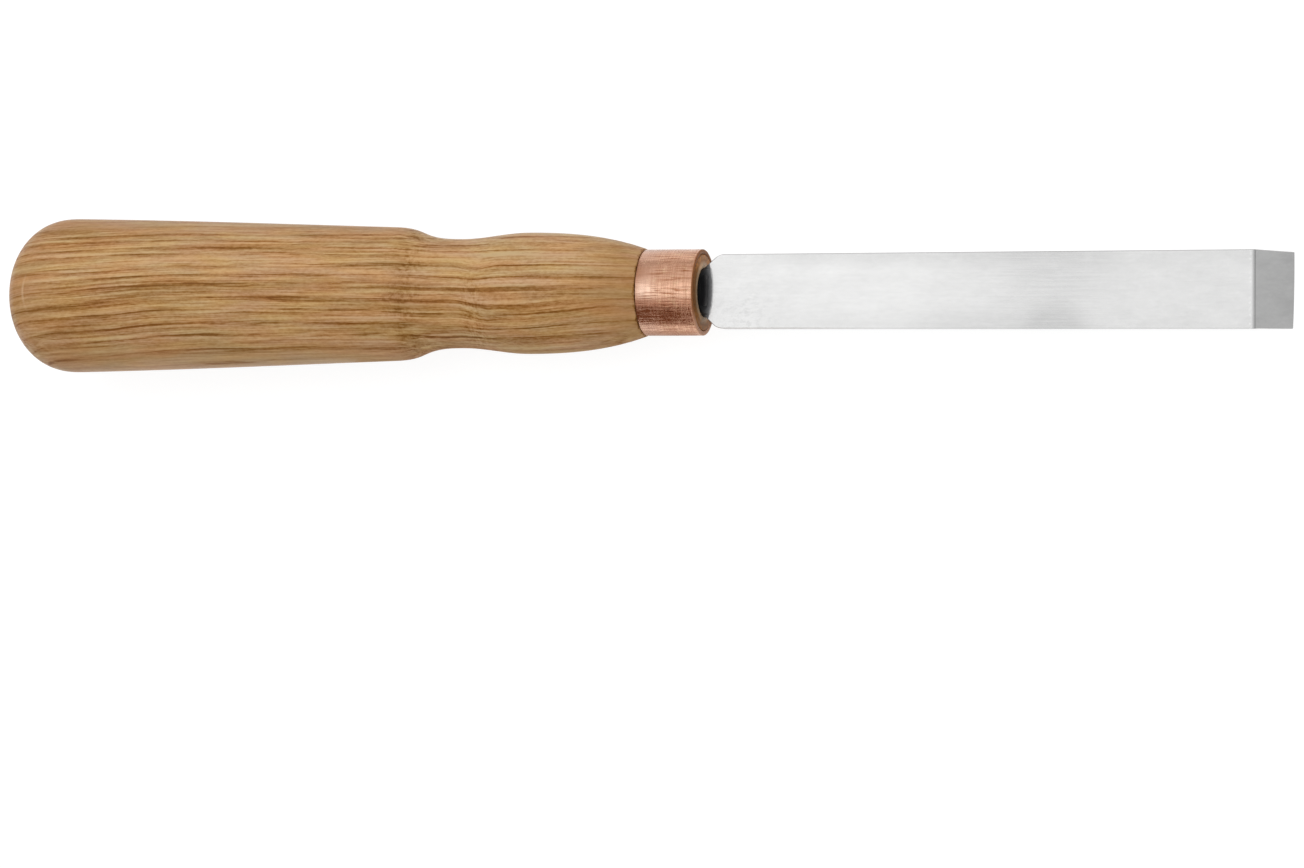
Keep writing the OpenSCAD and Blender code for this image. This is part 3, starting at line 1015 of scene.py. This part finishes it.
# The face is darker towards its sides: painted shade.
far_side = steel.remap(aside, 4.0, 7.5, 0.0, 0.25)
near_side = steel.remap(aside, -3.0, -7.0, 0.0, 0.14)
shaded = steel.times(steel.calc("ADD", far_side, near_side), steel.remap(along, 50.0, 90.0, 1.0, 0.3))
smudge = steel.plus(FACE_DULL, shaded, steel.remap(along, 8.0, 20.0))
smudge = steel.calc("ADD", smudge, steel.remap(along, 36.0, 68.0, 0.0, 0.22))
for centre, size, strength in SMUDGES:
    away = steel.length(steel.vector("DIVIDE", steel.vector("SUBTRACT", place, centre), size))
    away = steel.plus(away, blotches, 0.9)
    smudge = steel.calc("ADD", smudge, steel.remap(away, 0.75, 1.35, strength, 0.0))
honed = steel.remap(along, HEEL - 0.15, HEEL + 0.15)
smudge = steel.blend(honed, smudge, steel.remap(along, EDGE - 5.0, EDGE, 0.14, 0.25))
heel_here = steel.plus(HEEL, aside, -HEEL_SKEW / HEEL_HALF)
past_heel = steel.calc("SUBTRACT", along, heel_here)
heel_shade = steel.times(steel.remap(past_heel, 0.06, 0.2, 1.0, 0.0), steel.remap(past_heel, -0.75, -0.10))
chipped = steel.times(steel.bump_at(past_heel, CHIPS, CHIPS_REACH), steel.remap(ragged, 0.45, 0.65))
print("smudges:", len(SMUDGES), "heel line at", round(HEEL, 2), "mm")

# %% [markdown]
# The belt leaves fine lines along the blade, which show most among the smudges. There are stains and short
# strokes too, and a few pits near the shoulders. Each is faint, and together they make the steel look used.
# They all change one number, how dull the steel is, which mixes a bright with a dull grey.

# %% Colour the steel
STEEL = (0.72, 0.72, 0.717, 1)
STEEL_DULL = (0.46, 0.46, 0.46, 1)
STEEL_EDGE_SHADE = (0.16, 0.16, 0.16, 1)
SCALE_BLACK = (0.004, 0.004, 0.0045, 1)
SCALE_GREY = (0.24, 0.24, 0.245, 1)
BELT_X, BELT_REACH = 73.0, 20.0
PITS_X, PITS_REACH = 9.0, 13.0
STAIN_BASE = -0.26

belt = steel.drawn_lines(place, (0.05, 2.6, 2.6), 0.3, 0.7)
belt = steel.times(belt, steel.remap(steel.bump_at(along, BELT_X, BELT_REACH), 0.0, 1.0, 0.3, 1.0))
stains = steel.plus(STAIN_BASE, steel.clouds(place, (0.10, 0.30, 0.30)), 0.06)
stains = steel.plus(stains, blotches, 0.45)
pits = steel.drawn_lines(place, (0.8, 1.3, 1.3), 0.44, 0.66)
pits = steel.times(pits, steel.bump_at(along, PITS_X, PITS_REACH), steel.remap(aside, -4.0, 3.0, 0.22, 0.06))
strokes = steel.drawn_lines(place, (0.55, 1.7, 1.7), 0.34, 0.66)
faint = steel.calc("ADD", stains, pits)
for part, share in ((belt, 0.07), (chipped, -0.25), (strokes, 0.05)):
    faint = steel.plus(faint, part, share)
dull = steel.plus(smudge, faint, steel.remap(honed, 0.0, 1.0, 1.0, 1.6))
bright = steel.tint(dull, STEEL, STEEL_DULL)
# The lines along the edges and the heel are painted shade.
line = steel.calc("MAXIMUM", steel.times(edge_shade, 0.8), steel.times(heel_shade, 0.6))
bright = steel.tint(line, bright, STEEL_EDGE_SHADE)
scale_fade = steel.calc("POWER", steel.remap(from_arc, ARC - 1.95, ARC + 0.5), 2.0)
dark_skin = steel.tint(scale_fade, SCALE_BLACK, SCALE_GREY)
print("steel nodes so far:", len(steel.tree.nodes))

# %% [markdown]
# Ground steel is metal and scale is not, so the mask of the ground faces also sets Metallic.
# The belt lines are pressed in on the ground faces but not on the honed bevel, and the scale is pitted.

# %% Finish the steel
belt_rough = steel.times(steel.remap(belt, 0.0, 1.0, 0.22, 0.28), steel.remap(honed, 0.0, 1.0, 1.0, 0.7))
steel.shade({
    "Base Color": steel.tint(scale, bright, dark_skin),
    "Metallic": ground,
    "Roughness": steel.plus(belt_rough, scale, 0.2),
    "Specular IOR Level": 0.15,
})
pitted = steel.times(ragged, scale, 3.0)
belted = steel.times(ground, steel.calc("SUBTRACT", 1.0, honed), 0.15)
steel.relief(steel.plus(pitted, belt, belted), strength=0.1, distance=0.04 * MM)
steel.dress(blade)

# %% [markdown]
# On a bench the chisel doesn't lie level: it rests on the thick of its handle and on its cutting edge.
# The floor is tilted to touch both, which is the same as tilting the tool, and the frame stays where it is.
# It shows white to the camera and to reflections, and still takes a faint shadow.

# %% Lay the floor
FLOOR_SIZE = 8
FLOOR_GLOW = 0.90
WHITE = (1, 1, 1, 1)
PAPER_SHADE = (0.18, 0.18, 0.18, 1)
PAPER_LIGHT = (0.8, 0.8, 0.8, 1)


def show_by_ray(nodes, lighting, shown):
    """The shown shader for the camera, reflections and refractions, and the lighting one for all else."""
    path = nodes.add("ShaderNodeLightPath").outputs
    seen = nodes.calc("MAXIMUM", path["Is Camera Ray"], path["Is Glossy Ray"])
    seen = nodes.calc("MAXIMUM", seen, path["Is Transmission Ray"])
    return nodes.add("ShaderNodeMixShader", {0: seen, 1: lighting.outputs[0], 2: shown.outputs[0]}).outputs[0]


rise = max((r + BACK_Z) / (EDGE_X - x) for x, r in handle_outline)
slope = math.atan(rise)
deselect_all()
bpy.ops.mesh.primitive_plane_add(size=FLOOR_SIZE, location=(EDGE_X, 0, BACK_Z), rotation=(0, -slope, 0))
floor = bpy.context.object
floor.name = "floor"
paper = bpy.data.materials.new("white_paper")
nodes = Nodes(cleared(paper))
lit = nodes.add("ShaderNodeBsdfDiffuse", {"Color": PAPER_SHADE})
glow = nodes.add("ShaderNodeEmission", {"Color": WHITE, "Strength": FLOOR_GLOW})
shown = nodes.add("ShaderNodeAddShader", {0: lit.outputs[0], 1: glow.outputs[0]})
plain = nodes.add("ShaderNodeBsdfDiffuse", {"Color": PAPER_LIGHT})
nodes.add("ShaderNodeOutputMaterial", {"Surface": show_by_ray(nodes, plain, shown)})
floor.data.materials.append(paper)
print("the floor slopes by", round(math.degrees(slope), 2), "degrees")

# %% [markdown]
# The light is that of a small product studio: a wide soft box overhead and to the left, in a white room.
# The room lights the tool a little less than it shows itself, so that the shadows keep some depth.

# %% Light the room
AMBIENT = 0.62
LAMP_WATTS = 6.0
BOX_PLACE, BOX_AIM, BOX_SIZE = (-0.25, 0.32, 1.0), (-0.05, 0.0, 0.0), (0.95, 0.92)


def facing(place, aim, axis):
    """The turn that points an axis of an object from its place to its aim."""
    return (Vector(aim) - Vector(place)).to_track_quat(axis, "Y").to_euler()


world = bpy.data.worlds.new("white_room")
bpy.context.scene.world = world
nodes = Nodes(cleared(world))
room = nodes.add("ShaderNodeBackground", {"Color": WHITE, "Strength": AMBIENT})
white = nodes.add("ShaderNodeBackground", {"Color": WHITE, "Strength": 1.0})
nodes.add("ShaderNodeOutputWorld", {"Surface": show_by_ray(nodes, room, white)})
bpy.ops.object.light_add(type="AREA", location=BOX_PLACE)
lamp = bpy.context.object
lamp.name = "overhead_box"
lamp.data.shape = "RECTANGLE"
lamp.data.size, lamp.data.size_y = BOX_SIZE
lamp.data.energy = LAMP_WATTS
lamp.rotation_euler = facing(BOX_PLACE, BOX_AIM, "-Z")
lamp.visible_camera = False
lamp.visible_glossy = False
print("lamp power in watts:", LAMP_WATTS)

# %% [markdown]
# Polished metal shows its surroundings, so what stands round the tool shapes its look.
# Ten cards, which only reflections see, take their place. The box card stands in for the lamp and makes
# the face of the blade bright. The near and far cards and the shade card draw the bands along the copper;
# the shade card is a painted shadow, the floor in the tool's shade under the ferrule. The left cards dim
# the shine on the butt, and the tip card turns the bevel grey.
# They throw no shadow, and no light on matt surfaces, so the wood keeps the even light of the room.

# %% Stand the reflection cards round the tool
BOX_LEVEL = 1.33
LEFT_TONE = (0.30, 0.22, 0.15)
LEFT_FLOOR_X = -0.278
ABOVE_FLOOR = 0.0004

left_floor = Vector((LEFT_FLOOR_X, 0.0, BACK_Z - rise * (EDGE_X - LEFT_FLOOR_X) + ABOVE_FLOOR))
floor_up = Vector((-math.sin(slope), 0.0, math.cos(slope)))
# Each card has its name, place, aim, size and colour.
CARDS = (
    ("box_card", (-0.22, 0.04, 1.0), (-0.22, 0.04, 0.0), (0.95, 0.58), (BOX_LEVEL,) * 3),
    ("near_low_card", (-0.045, -0.06, 0.0345), (-0.045, 0, 0.0345), (0.101, 0.063), (0.18, 0.082, 0.042)),
    ("near_high_card", (-0.045, -0.06, 0.103), (-0.045, 0, 0.103), (0.101, 0.074), (0.6, 0.46, 0.40)),
    ("near_floor_card", (-0.05, -0.125, -0.006), (-0.05, -0.125, 1), (0.14, 0.15), (0.25, 0.125, 0.07)),
    ("shade_card", (-0.04, -0.0125, -0.0107), (-0.04, -0.0125, 1), (0.08, 0.025), (0.60, 0.49, 0.43)),
    ("far_low_card", (-0.2, 0.9, 0.13), (-0.2, 0, 0.13), (1.8, 0.26), (0.56, 0.50, 0.46)),
    ("far_high_card", (-0.2, 0.9, 1.0), (-0.2, 0, 1.0), (1.8, 1.48), (0.90, 0.88, 0.87)),
    ("left_card", (-0.41, 0.0, 0.03), (0, 0.0, 0.03), (0.16, 0.15), LEFT_TONE),
    ("left_floor_card", left_floor, left_floor + floor_up, (0.254, 0.12), LEFT_TONE),
    ("tip_card", (0.75, 0.0, 0.75), (0, 0, 0), (1.6, 1.2), (0.61, 0.61, 0.61)),
)


def reflection_card(name, place, aim, size, colour):
    """A card of one colour that faces its aim and shows in reflections only."""
    deselect_all()
    bpy.ops.mesh.primitive_plane_add(size=1, location=place)
    card = bpy.context.object
    card.name = name
    card.scale = (size[0], size[1], 1)
    card.rotation_euler = facing(place, aim, "Z")
    cloth = bpy.data.materials.new(name + "_cloth")
    nodes = Nodes(cleared(cloth))
    glow = nodes.add("ShaderNodeEmission", {"Color": (*colour, 1), "Strength": 1.0})
    nodes.add("ShaderNodeOutputMaterial", {"Surface": glow.outputs[0]})
    card.data.materials.append(cloth)
    card.visible_camera = False
    card.visible_diffuse = False
    card.visible_shadow = False


for card in CARDS:
    reflection_card(*card)
print("cards in place:", len(CARDS))

# %% [markdown]
# The camera stands over the middle of the tool and leans a little towards its cutting end,
# so the mouth of the ferrule and the bolster show, and a little towards the near side.
# A long lens from more than a metre away keeps the outline almost without perspective.
# The tool lies above the middle of the frame, so the camera aims below it and no lens shift is needed.

# %% Place the camera
PHOTO_WIDE = 1304
FOCAL_PIXELS = 5500
SENSOR = 36
LEAN = math.radians(16.6)
TILT = math.radians(5.0)
ROLL = math.radians(-0.134)
DISTANCE = 1.1462
MIDDLE = Vector((-11.30 * MM, 0, 0))
AIM_BELOW = 29.45 * MM

back = Vector((math.sin(LEAN), -math.cos(LEAN) * math.sin(TILT), math.cos(LEAN) * math.cos(TILT)))
level_right = Vector((math.cos(LEAN), math.sin(LEAN) * math.sin(TILT), -math.sin(LEAN) * math.cos(TILT)))
level_up = Vector((0, math.cos(TILT), math.sin(TILT)))
right = level_right * math.cos(ROLL) - level_up * math.sin(ROLL)
up = level_up * math.cos(ROLL) + level_right * math.sin(ROLL)
bpy.ops.object.camera_add()
camera = bpy.context.object
camera.data.sensor_width = SENSOR
camera.data.lens = SENSOR * FOCAL_PIXELS / PHOTO_WIDE
camera.data.clip_start = 0.01
camera.data.clip_end = 50
turn = Matrix((right, up, back)).transposed().to_4x4()
camera.matrix_world = Matrix.Translation(MIDDLE - up * AIM_BELOW + back * DISTANCE) @ turn
bpy.context.scene.camera = camera
bpy.context.scene.view_settings.view_transform = "Standard"
print("lens in mm:", round(camera.data.lens, 1), "camera at", [round(v, 3) for v in camera.location])

# %% [markdown]
# Last, the view layer is brought up to date.

# %% Update the view layer
bpy.context.view_layer.update()
